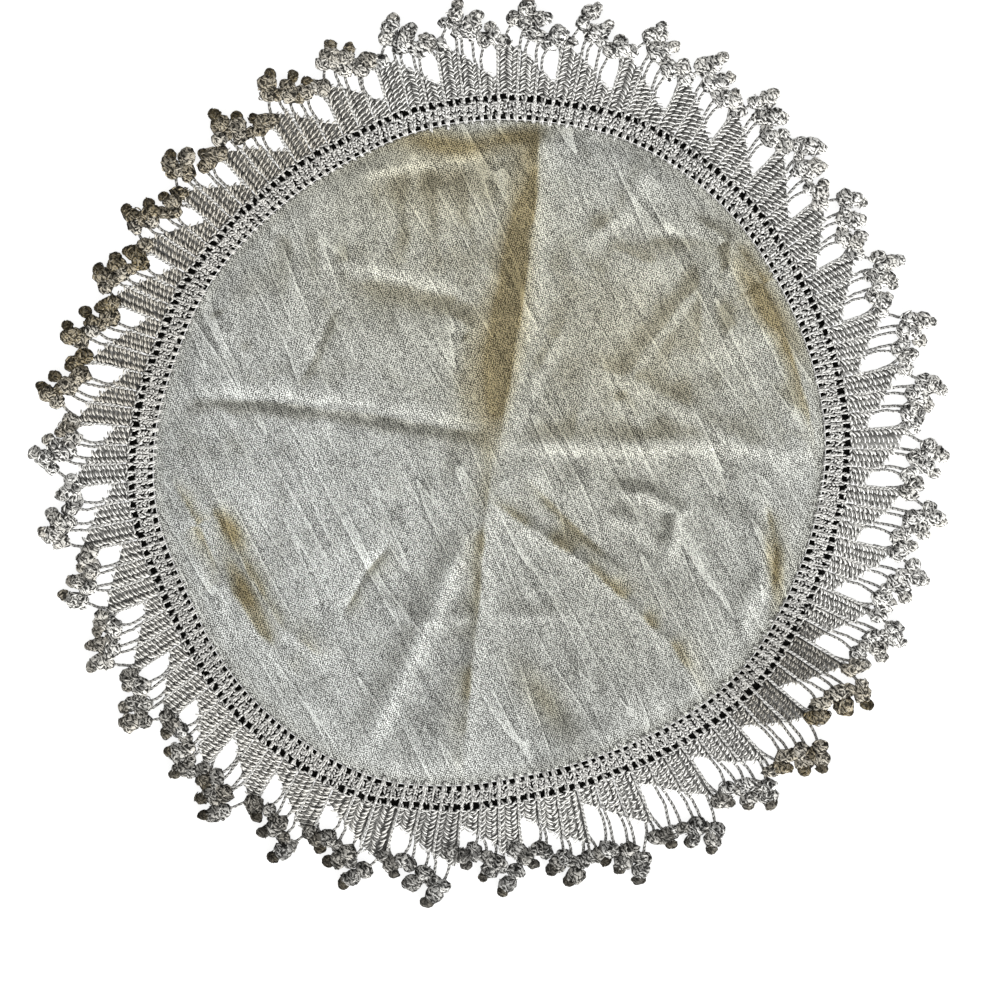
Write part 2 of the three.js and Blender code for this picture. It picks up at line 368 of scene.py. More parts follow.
linen = {
    "squares": 215,
    "foldTilt": -7.4,
    "thickness": 0.5,
    "lift": 2.8,
    "rimLift": 1.5,
    "rimFade": 14.0,
    # Painted shade along the sharp creases: strength, reach and patch size
    "creaseShade": 0.2,
    "creaseShadeReach": 4.5,
    "creaseShadePatches": 16.0,
    "lightWay": (0.45, -0.89),
    "wrinkle": 1.3,
    "wrinkleAlong": 48.0,
    "wrinkleAcross": 9.0,
    "swell": 2.0,
    "swellReach": 45.0,
    "ripple": 0.7,
    "rippleReach": 17.0,
    "crumple": 2.6,
    "crumpleAlong": 62.0,
    "crumpleAcross": 17.0,
    "shadedTint": 0.8,
    "shadedMost": 0.2,
    "lowerTint": 0.3,
    "hemWidth": 9.0,
    "hemAge": 0.1,
    "hemDim": 0.11,
}

# Height, width on the lit side and on the other side, sharp (1) or soft (0), points of the run
creases = [
    (5.0, 9, 16, 1, [(24, 164), (23, 135), (20, 102), (12, 51), (4, 4)]),
    (4.0, 7, 8, 1, [(-1, -18), (-3.6, -40), (-7, -85), (-11, -118), (-14, -160)]),
    (-3.0, 7, 6, 0, [(-150, 27), (-110, 25), (-70, 20), (-7, 9)]),
    (2.6, 6, 13, 0, [(8, 4), (60, 2), (117, 4), (160, -2)]),
    (-3.2, 13, 4, 0, [(-74, 92), (-40, 84), (-18, 78)]),
    (1.8, 4, 7, 0, [(-20, 70), (-10, 60), (-3, 46)]),
    (-2.2, 14, 4.5, 0, [(-68, 137), (-35, 143), (-2, 148)]),
    (1.2, 4, 7, 0, [(-42, 150), (-42, 98)]),
    (-1.8, 5, 4, 0, [(-112, 118), (-95, 95), (-82, 71)]),
    (-1.6, 5, 4, 0, [(-82, 71), (-90, 52), (-97, 37)]),
    (2.0, 4, 7, 0, [(-30, 140), (-14, 108)]),
    (2.0, 4, 7, 0, [(-142, 70), (-135, 57)]),
    (1.6, 4, 6, 0, [(-128, 54), (-111, 32)]),
    (-1.3, 8, 5, 0, [(76, 110), (98, 110), (116, 109)]),
    (2.8, 4, 6, 0, [(108, 114), (122, 107), (121, 88)]),
    (1.0, 4, 9, 0, [(117, 100), (95, 72), (67, 36)]),
    (4.0, 5, 9, 1, [(123, 107), (139, 85), (150, 58), (157, 38), (165, 5)]),
    (2.0, 4, 7, 0, [(122, 69), (134, 27), (142, 8)]),
    (1.4, 4, 8, 0, [(9, 8), (22, 36), (36, 60)]),
    (1.4, 5, 9, 0, [(80, 147), (68, 120), (50, 108)]),
    (2.2, 5, 9, 0, [(104, 85), (118, 49)]),
    (2.2, 6, 10, 0, [(56, 42), (70, 36), (103, 19), (118, 8)]),
    (1.6, 4, 6, 0, [(64, 28), (76, 14)]),
    (4.2, 6, 6, 1, [(-162, -18), (-150, -38), (-136, -66), (-118, -94), (-102, -112)]),
    (3.8, 6, 6, 1, [(-150, -18), (-136, -42), (-122, -66), (-106, -92), (-90, -104)]),
    (2.2, 5, 7, 0, [(-108, -20), (-100, -50), (-90, -84)]),
    (-2.0, 4, 4, 1, [(-52, -48), (-64, -62), (-75, -82)]),
    (3.4, 7, 13, 0, [(-10, -36), (-33, -88), (-50, -122), (-66, -154)]),
    (4.6, 5, 7, 1, [(3, -29), (26, -44), (49, -59), (70, -79), (91, -99), (105, -120)]),
    (-3.2, 5, 5, 1, [(22, -18), (35, -32), (50, -46), (64, -58)]),
    (3.5, 4, 7, 0, [(64, -20), (82, -24), (95, -32), (89, -58)]),
    (3.0, 4, 7, 0, [(60, -32), (74, -40), (88, -51)]),
    (-3.6, 4, 5, 1, [(140, -28), (145, -53), (142, -80)]),
    (2.0, 6, 9, 0, [(112, -28), (132, -42), (137, -62), (128, -88)]),
    (1.3, 3.5, 9, 0, [(0, -85), (36, -85)]),
    (1.2, 3.5, 9, 0, [(-60, -76), (-36, -88), (-10, -85)]),
]

# Middle, reach along and across, turn of the long way, strength of each yellowed place
yellowed = [
    ((9, 78), 66, 6.5, 82.5, 1.0),
    ((-3, 45), 34, 12, 75, 0.5),
    ((10, 160), 16, 5, 5, 0.8),
    ((-24, 156), 24, 6, -8, 0.8),
    ((-126.5, -71), 18, 4.4, -61, 0.9),
    ((-133, -42), 9, 5, -60, 0.9),
    ((140, 74), 26, 6, -58, 0.9),
    ((144, -60), 18, 3.6, -80, 0.75),
    ((27, -128), 22, 8, -54, 0.4),
    ((75, 55), 95, 75, 20, 0.4),
    ((-50, 100), 80, 60, 0, 0.27),
    ((-30, 140), 55, 26, -6, 0.3),
    ((70, -80), 90, 70, 0, 0.15),
]

# Middle, reach along and across, turn of the long way, strength of each duller or paler place; several
# are painted shade beside creases and over the upper left
dulled = [
    ((-70, 85), 90, 70, 0, 0.14),
    ((-48, 88), 34, 10, -8, -0.22),
    ((70, -75), 90, 60, 0, 0.09),
    ((-126, -70), 26, 9, -61, 0.38),
    ((28, -130), 24, 9, -58, 0.3),
    ((40, 40), 30, 16, 60, 0.14),
    ((74, 52), 24, 12, 30, -0.14),
    ((78, 120), 26, 20, -40, 0.14),
    ((107, 24), 20, 14, -20, 0.14),
    ((-66, -44), 36, 24, -30, -0.12),
    ((-22, -42), 16, 12, 0, -0.16),
    ((-24, -124), 34, 13, 78, 0.26),
    ((44, -142), 24, 12, 10, 0.3),
    ((34, -106), 30, 14, -20, 0.1),
    ((-152, 20), 14, 26, 0, 0.14),
    ((-8, -95), 56, 2.6, 84, 0.14),
]


def rolling(across, up, layer):
    return np.array([noise.noise(Vector((a, b, layer))) for a, b in zip(across, up)])


def creaseRelief(x, y):
    point = np.stack([x, y], -1)
    relief, creaseShade = np.zeros(len(point)), np.zeros(len(point))
    patches = rolling(x / linen["creaseShadePatches"], y / linen["creaseShadePatches"], 2.0)
    patches = smooth(patches, -0.45, 0.35)
    for height, near, far, sharp, run in creases:
        nearest = np.full(len(point), 1e9)
        facing = np.zeros(len(point))
        fade = np.ones(len(point))
        run = np.array(run, float)
        steps = np.linalg.norm(np.diff(run, axis=0), axis=1)
        before = np.concatenate([[0], np.cumsum(steps)])
        for i, (start, end) in enumerate(zip(run[:-1], run[1:])):
            along = end - start
            aside = np.array((-along[1], along[0])) / steps[i]
            t = np.clip((point - start) @ along / (along @ along), 0, 1)
            gap = np.linalg.norm(point - start - t[:, None] * along, axis=1)
            closer = gap < nearest
            nearest = np.where(closer, gap, nearest)
            turned = ((point - start) @ aside) * np.sign(aside @ linen["lightWay"])
            facing = np.where(closer, turned, facing)
            place = (before[i] + t * steps[i]) / before[-1]
            fade = np.where(closer, smooth(place, -0.12, 0.2) * smooth(1.12 - place, 0, 0.3), fade)
        # The two widths meet softly along the run
        width = far + (near - far) * smooth(facing, -1.5, 1.5)
        soft = np.exp(-(nearest / width) ** 2 * 2.2)
        folded = np.exp(-nearest / width * 1.9)
        relief += height * fade * np.where(sharp, 0.8 * folded + 0.2 * soft, soft)
        # Shade is painted on the side of a sharp crease turned from the light, darkening the cloth and
        # tinting it brown
        if sharp:
            shaded = 1 - smooth(facing * np.sign(height), -0.8, 0.8)
            held = np.exp(-nearest / linen["creaseShadeReach"]) * shaded * patches
            creaseShade += fade * held * abs(height) * linen["creaseShade"]
    return relief, creaseShade


def patched(places, x, y):
    total = np.zeros(len(x))
    for (midX, midY), along, across, turn, strength in places:
        c, s = math.cos(math.radians(turn)), math.sin(math.radians(turn))
        u = ((x - midX) * c + (y - midY) * s) / along
        v = ((y - midY) * c - (x - midX) * s) / across
        total = total + strength * np.exp(-(u * u + v * v))
    return total


def wrinkles(x, y):
    # Soft waves, longest along the warp, and a few sharper crumples
    s = linen
    turn = math.radians(-linenFinish["warpTurn"])
    along = x * math.cos(turn) + y * math.sin(turn)
    across = y * math.cos(turn) - x * math.sin(turn)
    fine = rolling(along / s["wrinkleAlong"], across / s["wrinkleAcross"], 3.0)
    broad = rolling(x / s["swellReach"], y / s["swellReach"], 8.0)
    small = rolling(x / s["rippleReach"], y / s["rippleReach"], 5.0)
    along, across = along / s["crumpleAlong"], across / s["crumpleAcross"]
    sharp = 0.2 - np.abs(rolling(along, across + 0.4 * np.sin(3 * along), 11.0))
    waves = s["wrinkle"] * fine + s["swell"] * broad
    return waves + s["ripple"] * small + s["crumple"] * sharp


def clothHeight(x, y):
    return creaseRelief(x, y)[0] + wrinkles(x, y)


def makeLinen(material):
    s = linen
    bm = bmesh.new()
    bmesh.ops.create_grid(bm, x_segments=s["squares"], y_segments=s["squares"], size=1)
    mesh = bpy.data.meshes.new("linenSheet")
    bm.to_mesh(mesh)
    bm.free()
    points = np.empty(len(mesh.vertices) * 3)
    mesh.vertices.foreach_get("co", points)
    u, v = points.reshape(-1, 3)[:, :2].T
    # The square grid is pressed out to the round, corner by corner
    aside = np.abs(u) >= np.abs(v)
    safeU, safeV = np.where(u == 0, 1, u), np.where(v == 0, 1, v)
    turn = np.where(aside, 45 * v / safeU, 90 - 45 * u / safeV)
    turn = turn + np.where(np.where(aside, u, v) < 0, 180, 0) + s["foldTilt"]
    rim = edgeRadius(turn) - 0.15
    radius = rim * np.maximum(np.abs(u), np.abs(v))
    flat = placed(turn, radius, 0.0)
    x, y = flat[:, 0], flat[:, 1]
    inside = smooth(rim - radius, 0.5, s["rimFade"])
    creaseShade = creaseRelief(x, y)[1]
    height = s["rimLift"] + inside * (s["lift"] - s["rimLift"] + clothHeight(x, y))
    wayX, wayY = s["lightWay"]
    rise = (clothHeight(x + wayX, y + wayY) - clothHeight(x - wayX, y - wayY)) / 2
    flat[:, 2] = np.maximum(height, s["thickness"] / 2 + 0.05)
    mesh.vertices.foreach_set("co", (flat * mm).ravel())
    hem = 1 - smooth(rim - radius, 0, s["hemWidth"])
    # Shade is painted on the sides turned from the light: warm in the upper half, greyer in the lower
    warmth = s["lowerTint"] + (1 - s["lowerTint"]) * smooth(y, -30, 30)
    shaded = inside * warmth * np.clip(s["shadedTint"] * rise, 0, s["shadedMost"])
    agedAndShaded = np.clip(patched(yellowed, x, y) + creaseShade + shaded + s["hemAge"] * hem, 0, 1)
    dim = patched(dulled, x, y) + s["hemDim"] * hem
    mesh.attributes.new("agedAndShaded", "FLOAT", "POINT").data.foreach_set("value", agedAndShaded)
    mesh.attributes.new("dim", "FLOAT", "POINT").data.foreach_set("value", dim)
    laid = mesh.uv_layers.new(name="OFBake")
    corners = np.empty(len(mesh.loops), np.int32)
    mesh.loops.foreach_get("vertex_index", corners)
    laid.uv.foreach_set("vector", (flat[corners, :2] / 380 + 0.5).ravel())
    mesh.shade_smooth()
    mesh.materials.append(material)
    sheet = bpy.data.objects.new("linenSheet", mesh)
    scene.collection.objects.link(sheet)
    thick = sheet.modifiers.new("thickness", "SOLIDIFY")
    thick.thickness = s["thickness"] * mm
    thick.offset = 0.0
    return sheet


linenSheet = makeLinen(linenMaterial())
print("linenSheet laid:", len(linenSheet.data.vertices), "points")


# Thread: one short strand from Blender's own cone, bent and repeated for every stitch

def strandShape(rings, sides, ends):
    bm = bmesh.new()
    bmesh.ops.create_cone(bm, cap_ends=True, segments=sides, radius1=1, radius2=1, depth=1)
    uprights = [e for e in bm.edges if abs(e.verts[0].co.z - e.verts[1].co.z) > 0.5]
    bmesh.ops.subdivide_edges(bm, edges=uprights, cuts=rings - 2)
    bmesh.ops.recalc_face_normals(bm, faces=bm.faces)
    bm.verts.index_update()
    along = np.array([v.co.z + 0.5 for v in bm.verts])
    ring = np.array([v.co[:2] for v in bm.verts])
    faces = [[v.index for v in f.verts] for f in bm.faces]
    bm.free()
    turns = np.mod(np.arctan2(ring[:, 1], ring[:, 0]) / (2 * np.pi), 1.0)
    around = []
    for face in faces:
        turn = turns[face]
        around.extend(np.where((turn < 0.5) & (np.ptp(turn) > 0.5), turn + 1, turn))
    # Painted light and shade: each strand's top is pale, its underside and ends dark
    return {
        "along": along,
        "ring": ring * np.where((along < 0.01) | (along > 0.99), ends, 1.0)[:, None],
        "top": smooth(ring[:, 1], -1.0, 0.2),
        "ends": 1 - smooth(np.sin(np.pi * along), 0, 0.7),
        "corners": np.concatenate(faces),
        "around": np.array(around),
        "sizes": np.array([len(f) for f in faces]),
    }


roundStrand = strandShape(4, 5, 0.6)
fineStrand = strandShape(4, 4, 0.6)


def unit(vectors):
    return vectors / np.maximum(np.linalg.norm(vectors, axis=-1, keepdims=True), 1e-9)


def finishPiece(name, mesh, material, lit, brownTint):
    mesh.attributes.new("lit", "FLOAT", "POINT").data.foreach_set("value", lit)
    mesh.attributes.new("brownTint", "FLOAT", "POINT").data.foreach_set("value", brownTint)
    mesh.shade_smooth()
    mesh.materials.append(material)
    piece = bpy.data.objects.new(name, mesh)
    scene.collection.objects.link(piece)
    print(name, "worked:", len(mesh.polygons), "faces")
    return piece


class Stitches:
    def __init__(self, shape):
        self.shape = shape
        self.rows = []

    def add(self, bends, radius, tone=1.0, brownTint=0.0, endShade=0.75):
        # How much shade is painted on a strand's ends, where it goes under the next one
        bends = np.asarray(bends, float)
        each = [np.broadcast_to(value, len(bends)) for value in (radius, tone, brownTint, endShade)]
        self.rows.append((bends, *each))

    def build(self, name, material):
        bends, radius, tone, brownTint, endShade = (np.concatenate(part) for part in zip(*self.rows))
        shape = self.shape
        s = shape["along"]
        t = 1 - s
        weights = np.stack([t ** 3, 3 * s * t ** 2, 3 * s * s * t, s ** 3], 1)
        slopes = np.stack([-t ** 2, t ** 2 - 2 * s * t, 2 * s * t - s * s, s * s], 1)
        spine = np.einsum("vk,nkd->nvd", weights, bends)
        heading = unit(np.einsum("vk,nkd->nvd", slopes, bends))
        chord = bends[:, 3] - bends[:, 0]
        bulge = bends[:, 1] + bends[:, 2] - bends[:, 0] - bends[:, 3] + (0, 0, 1e-3)
        upright = unit(bulge * (0.3, 0.3, 1))
        side = unit(np.cross(chord, upright))[:, None, :]
        lift = unit(np.cross(side, heading))
        ring = shape["ring"]
        points = spine + radius[:, None, None] * (ring[:, :1] * side + ring[:, 1:] * lift)
        count, each = points.shape[:2]
        points[:, :, 2] = np.maximum(points[:, :, 2], 0.03)
        mesh = bpy.data.meshes.new(name)
        mesh.vertices.add(count * each)
        mesh.vertices.foreach_set("co", (points * mm).ravel())
        corners = (shape["corners"][None, :] + each * np.arange(count)[:, None]).ravel()
        mesh.loops.add(len(corners))
        mesh.loops.foreach_set("vertex_index", corners.astype(np.int32))
        sizes = np.tile(shape["sizes"], count)
        mesh.polygons.add(len(sizes))
        mesh.polygons.foreach_set("loop_start", (np.cumsum(sizes) - sizes).astype(np.int32))
        mesh.update(calc_edges=True)
        along = np.tile(s[shape["corners"]], count)
        around = np.tile(shape["around"], count)
        # Each strand has its own cell of the map
        cells = math.ceil(math.sqrt(count))
        number = np.repeat(np.arange(count), len(shape["corners"]))
        column = number % cells + 0.05 + 0.9 * along
        row = number // cells + 0.05 + 0.75 * around
        cell = np.stack([column, row], 1) / cells
        twist = np.stack([along, around], 1)
        mesh.uv_layers.new(name="OFBake").uv.foreach_set("vector", cell.ravel())
        mesh.uv_layers.new(name="twist").uv.foreach_set("vector", twist.ravel())
        # Painted light on each strand's top, painted shade underneath and at the ends
        lit = tone[:, None] * shape["top"] * (1 - endShade[:, None] * shape["ends"])
        return finishPiece(name, mesh, material, lit.ravel(), np.repeat(brownTint, each))


def arched(start, end, rise, sway=0.0):
    # A strand from start to end that rises in its middle, and sways to its left
    third = (end - start) / 3
    aside = unit(np.cross((0, 0, 1), end - start)) * np.reshape(sway, (-1, 1)) * 4 / 3
    lift = np.zeros_like(start)
    lift[:, 2] = np.asarray(rise) * 4 / 3
    return np.stack([start, start + third + lift + aside, end - third + lift + aside, end], 1)


def wobble(bends, amount):
    # Every stitch sits a little off, and the whole edging wanders slowly
    x, y = bends[..., 0], bends[..., 1]
    slowX = np.sin(y * 0.11 + 1.3) + np.sin(x * 0.07 + y * 0.05)
    slowY = np.sin(x * 0.12 + 0.4) + np.sin(y * 0.08 - x * 0.06)
    slow = 0.3 * np.stack([slowX, slowY, np.zeros_like(x)], -1)
    return bends + slow + rng.normal(0, amount, (len(bends), 1, 3)) * (1, 1, 0.6)


def toneOf(count, spread=0.1):
    return np.clip(rng.normal(0.93, spread, count), 0.5, 1.15)


# Ribs: three rows of slanted stitches between raised lines, three ribs on each tooth

ribs = {
    "ridgePast": (-0.95, 1.95, 4.8),
    "ridgeEnd": (41, 26, 36.5),
    "braidEndNear": (21.6, 28.5, 36.5),
    "braidEndFar": (27.5, 36, 44),
    "start": 12.6,
    "rowShares": (0.17, 0.45, 0.75),
    "evenShares": (0.15, 0.48, 0.81),
    "rowSlants": (66, 66, 50),
    "boneSlant": 52,
    "lowerSlant": 12,
    "slantSpread": 7,
    "looseSpread": 10,
    "rowLength": 3.5,
    "rowRadii": (0.43, 0.43, 0.47),
    "rowPitch": 2.35,
    "rowHeights": (1.35, 1.5),
    "rowTone": 1.15,
    "underDrop": 0.5,
    "underTone": 0.38,
    "ridgeFrom": 1.2,
    "ridgePitch": 2.1,
    "ridgeHalfWidth": 0.52,
    "ridgeRadius": 0.42,
    "ridgeHeight": 1.25,
    "ridgeStand": 0.65,
    "brownTint": 1.1,
}

# Angle round the doily, how pale the thread is made there on the ribs and on the heading
sectorTones = np.array([
    (0, 1.35, 1.05), (40, 1.18, 0.92), (80, 1.4, 0.9), (100, 1.15, 0.95), (130, 1.1, 0.95),
    (160, 1.18, 0.92), (180, 1.18, 1.02), (200, 1.35, 0.85), (240, 2.05, 0.98), (260, 0.92, 0.9),
    (280, 2.1, 1.0), (302, 1.95, 0.95), (316, 0.6, 0.8), (328, 0.62, 0.82), (342, 2.2, 1.05),
    (360, 1.35, 1.05),
])

ridgeAngles = (eyes[:, None] + np.outer(stretches, ribs["ridgePast"])).ravel()
ridgeSpans = np.mod(np.roll(ridgeAngles, -1) - ridgeAngles, 360)
ribCount = len(ridgeAngles)
ribKind = np.tile([0, 1, 2], len(teeth))
endJitter = rng.normal(0, 0.5, ribCount)


def ribSpot(rib, share, out, height):
    return pastEdge(ridgeAngles[rib] + share * ridgeSpans[rib], out, height)


def shareOfMm(rib, out):
    return 1 / (np.radians(ridgeSpans[rib]) * (edgeRadius(ridgeAngles[rib]) + out))


def lowerSide(angle):
    turned = np.mod(angle, 360)
    return smooth(turned, 200, 235) * (1 - smooth(turned, 300, 340))


def fishbone(angle):
    # Where the middle stitches lean the other way: at the bottom and the top
    turned = np.mod(angle, 360)
    bottom = smooth(turned, 242, 250) * (1 - smooth(turned, 276, 284))
    return np.maximum(bottom, smooth(turned, 60, 75) * (1 - smooth(turned, 95, 110)))


def ridged(angle):
    # Where the lines between the ribs stand up
    turned = np.mod(angle, 360)
    return np.maximum(fishbone(angle), smooth(turned, 242, 250) * (1 - smooth(turned, 330, 340)))


def sectorTone(angle, column=1):
    return np.interp(np.mod(angle, 360), sectorTones[:, 0], sectorTones[:, column])


# A darker brown tint over three stretches of the ring
def brownTintAt(angle):
    turned = np.mod(angle, 360)
    upperLeft = smooth(turned, 100, 122) * (1 - smooth(turned, 168, 185))
    lowerLeft = smooth(turned, 182, 195) * (1 - smooth(turned, 240, 262))
    lowerRight = smooth(turned, 308, 314) * (1 - smooth(turned, 326, 334))
    return 0.45 * upperLeft + 0.15 * lowerLeft + 0.4 * lowerRight


# Where wear has matted the ribs' stitches together
matted = np.minimum(2.2 * brownTintAt(ridgeAngles), 1)


def ribRows(first, pitch, jitter, phase):
    pitches = pitch * (1 + 0.07 * ridged(ridgeAngles) - 0.07 * fishbone(ridgeAngles))
    rows = np.arange(-1, 24)
    rib = np.repeat(np.arange(ribCount), len(rows))
    out = first + (rows + phase[:, None]) * pitches[:, None]
    return rib, out.ravel() + rng.normal(0, jitter, len(rib))


def makeRibs(material):
    r = ribs
    braid, under, ridge = Stitches(roundStrand), Stitches(fineStrand), Stitches(fineStrand)
    near = np.array(r["braidEndNear"])[ribKind] + endJitter
    far = np.array(r["braidEndFar"])[ribKind] + endJitter
    bone, lines = fishbone(ridgeAngles), ridged(ridgeAngles)
    loose = np.maximum(lines - bone, 0)
    steep = r["lowerSlant"] * np.maximum(lowerSide(ridgeAngles) - bone - loose, 0)
    phase = rng.uniform(-0.5, 0.5, ribCount)
    # Under each row of stitches, half a stitch along, a darker row fills the gaps: painted shade
    # between the stitches
    filled = 0.3 * matted + 0.3 * lines + 0.2 * loose
    layers = [
        {"stitches": braid, "drop": 0, "late": 0, "shade": np.full(ribCount, r["rowTone"])},
        {"stitches": under, "drop": r["underDrop"], "late": 0.5, "shade": r["underTone"] + filled},
    ]
    for row, share in enumerate(r["rowShares"]):
        for layer in layers:
            shift = phase + 0.5 * row + layer["late"]
            rib, out = ribRows(r["start"] + 0.9, r["rowPitch"], 0.08, shift)
            ends = near[rib] + (far - near)[rib] * share
            kept = (out < ends - 0.4) & (out > r["start"] + 0.3)
            b, o = rib[kept], out[kept]
            slant = r["rowSlants"][row] * (1 - bone[b]) + r["boneSlant"] * bone[b] + steep[b]
            spread = r["slantSpread"] + r["looseSpread"] * loose[b]
            slant = slant + spread * rng.normal(0, 1, len(b))
            reach = r["rowLength"] / 2 * rng.normal(1, 0.12, len(b))
            reach = reach * (1 - 0.12 * matted[b]) * (1 - 0.2 * loose[b])
            lean = np.where((row == 1) & (bone[b] > 0.5), -1, 1)
            aside = lean * reach * np.sin(np.radians(slant)) * shareOfMm(b, o)
            ahead = reach * np.cos(np.radians(slant))
            middle = share * lines[b] + r["evenShares"][row] * (1 - lines[b])
            middle = middle + rng.normal(0, 0.02, len(b))
            low, high = np.array(r["rowHeights"]) - layer["drop"]
            start = ribSpot(b, middle + aside, o - ahead, low)
            end = ribSpot(b, middle - aside, o + ahead, high)
            bends = wobble(arched(start, end, 0.5, 0.3 * lean), 0.16)
            # The first row is darker on the lower side of the ring
            toned = sectorTone(ridgeAngles[b]) * (1 - 0.3 * lowerSide(ridgeAngles[b]) * (row == 0))
            wide = r["rowRadii"][row] * rng.normal(1, 0.1, len(b)) * (1 - 0.08 * bone[b])
            tone = toneOf(len(b), 0.15) * toned * layer["shade"][b]
            layer["stitches"].add(bends, wide, tone, r["brownTint"] * brownTintAt(ridgeAngles[b]), 0.15)
    rib, out = ribRows(r["ridgeFrom"], r["ridgePitch"], 0.1, phase)
    ends = np.array(r["ridgeEnd"])[ribKind]
    # The lines show over the whole rib where they stand up, and elsewhere on its outer half
    kept = (out < ends[rib]) & ((lines[rib] > 0.4) | (out > 18))
    b, o = rib[kept], out[kept]
    high = r["ridgeHeight"] + r["ridgeStand"] * lines[b]
    for hand in (-1, 1):
        half = hand * r["ridgeHalfWidth"] * shareOfMm(b, o)
        start = ribSpot(b, half * 0.8, o - 1.2 + 0.3 * hand, high)
        end = ribSpot(b, half * 0.9, o + 1.2 + 0.3 * hand, high + 0.1)
        bends = wobble(arched(start, end, 0.4, hand * -0.18), 0.09)
        ridge.add(bends, r["ridgeRadius"], toneOf(len(b), 0.1))
    pieces = {"ribBraids": braid, "ribUnders": under, "ribLines": ridge}
    return [stitches.build(name, material) for name, stitches in pieces.items()]


crochetCotton = threadMaterial()
edging = makeRibs(crochetCotton)


# Heading: overcast edge, a row of small holes, two rows of stitches and a row of square holes

heading = {
    "postShares": (0.0, 0.5),
    "postRuns": ((1.6, 6.0), (4.8, 8.8), (8.0, 10.8), (9.8, 13.4)),
    "overcastTops": (-0.7, 0.5, 0.1),
    "overcastFeet": (-0.7, -1.6, -0.1),
    "clusterShares": (0.26, 0.75),
    "clusterRows": (4.0, 5.5, 7.0, 8.3),
    "clusterHalfWidth": 1.9,
    "barShares": (0.0, 0.25, 0.5, 0.75),
    "barRows": (3.0, 8.7, 13.1),
    "stitchRadius": 0.47,
    "overcastRadius": 0.42,
    "brownTint": 0.3,
}


def makeHeading(material):
    h = heading
    clusters, posts = Stitches(roundStrand), Stitches(fineStrand)
    rib = np.arange(ribCount)
    perMm = shareOfMm(rib, 6)
    toned = sectorTone(ridgeAngles, 2)
    brownTint = h["brownTint"] * brownTintAt(ridgeAngles)
    thin, full = h["overcastRadius"], h["stitchRadius"]

    def work(stitches, start, end, rise, sway, stray, radius, spread, uneven=0, pale=1):
        # Start and end: share of the rib's width, distance past the edge, height
        bends = wobble(arched(ribSpot(rib, *start), ribSpot(rib, *end), rise, sway), stray)
        wide = radius * rng.normal(1, uneven, ribCount) if uneven else radius
        stitches.add(bends, wide, toneOf(ribCount, spread) * toned * pale, brownTint)

    for share in h["postShares"]:
        for top, foot in zip(h["overcastTops"], h["overcastFeet"]):
            start = (share + foot * perMm, -1.6, 1.2)
            end = (share + top * perMm, 3.4, 1.9)
            work(posts, start, end, 0.95, 0.2, 0.22, thin, 0.1)
    for share in h["clusterShares"]:
        start = (share - 2.6 * perMm, -1.2, 1.3)
        end = (share - rng.normal(1.1, 0.35, ribCount) * perMm, 2.8, 1.8)
        work(posts, start, end, 0.8, 0.3, 0.4, thin, 0.1)
        start = (share - 2.3 * perMm, 9.9, 1.5)
        end = (share - rng.normal(1.2, 0.4, ribCount) * perMm, 12.9, 1.5)
        work(posts, start, end, 0.4, 0.3, 0.4, full, 0.16, pale=0.92)
        half = h["clusterHalfWidth"] * perMm
        for out in h["clusterRows"]:
            for hand in (-1, 1):
                start = (share + hand * half, out - 0.8, 1.5)
                end = (share + hand * 0.15 * half, out + 0.8, 1.75)
                work(clusters, start, end, 0.6, hand * -0.4, 0.28, full, 0.16, 0.1)
    for share in h["postShares"]:
        for hand in (-1, 1):
            for low, high in h["postRuns"]:
                apart = hand * (0.7 if low < 9 else 0.4) * perMm
                start, end = (share + apart, low, 1.6), (share + apart * 0.7, high, 1.7)
                work(posts, start, end, 0.5, hand * -0.25, 0.36, full, 0.14)
    for out in h["barRows"]:
        for share in h["barShares"]:
            start = (share - 0.04, out - 0.2 + rng.normal(0, 0.3, ribCount), 1.5)
            end = (share + 0.28, out + 0.2 + rng.normal(0, 0.3, ribCount), 1.5)
            work(posts, start, end, 0.5, 0.3, 0.36, full, 0.16)
    return [clusters.build("headingStitches", material), posts.build("headingPosts", material)]


edging += makeHeading(crochetCotton)


# Backs of the stitches: the worked thread that closes the fabric under the stitches on top, coloured
# dark as painted shade; under the heading the same dark sheet fills the small holes as painted shadow

backsAndShadow = {
    "thickness": 0.7,
    "top": 0.9,
    "headingFrom": 0.3,
    "headingTo": 13.2,
    "columns": 4,
    "inset": 1.4,
    "litHoles": 0.0,
    "litRibs": (0.3, 0.3, 0.25, 0.1, 0.25),
    "litBelow": 0.7,
}


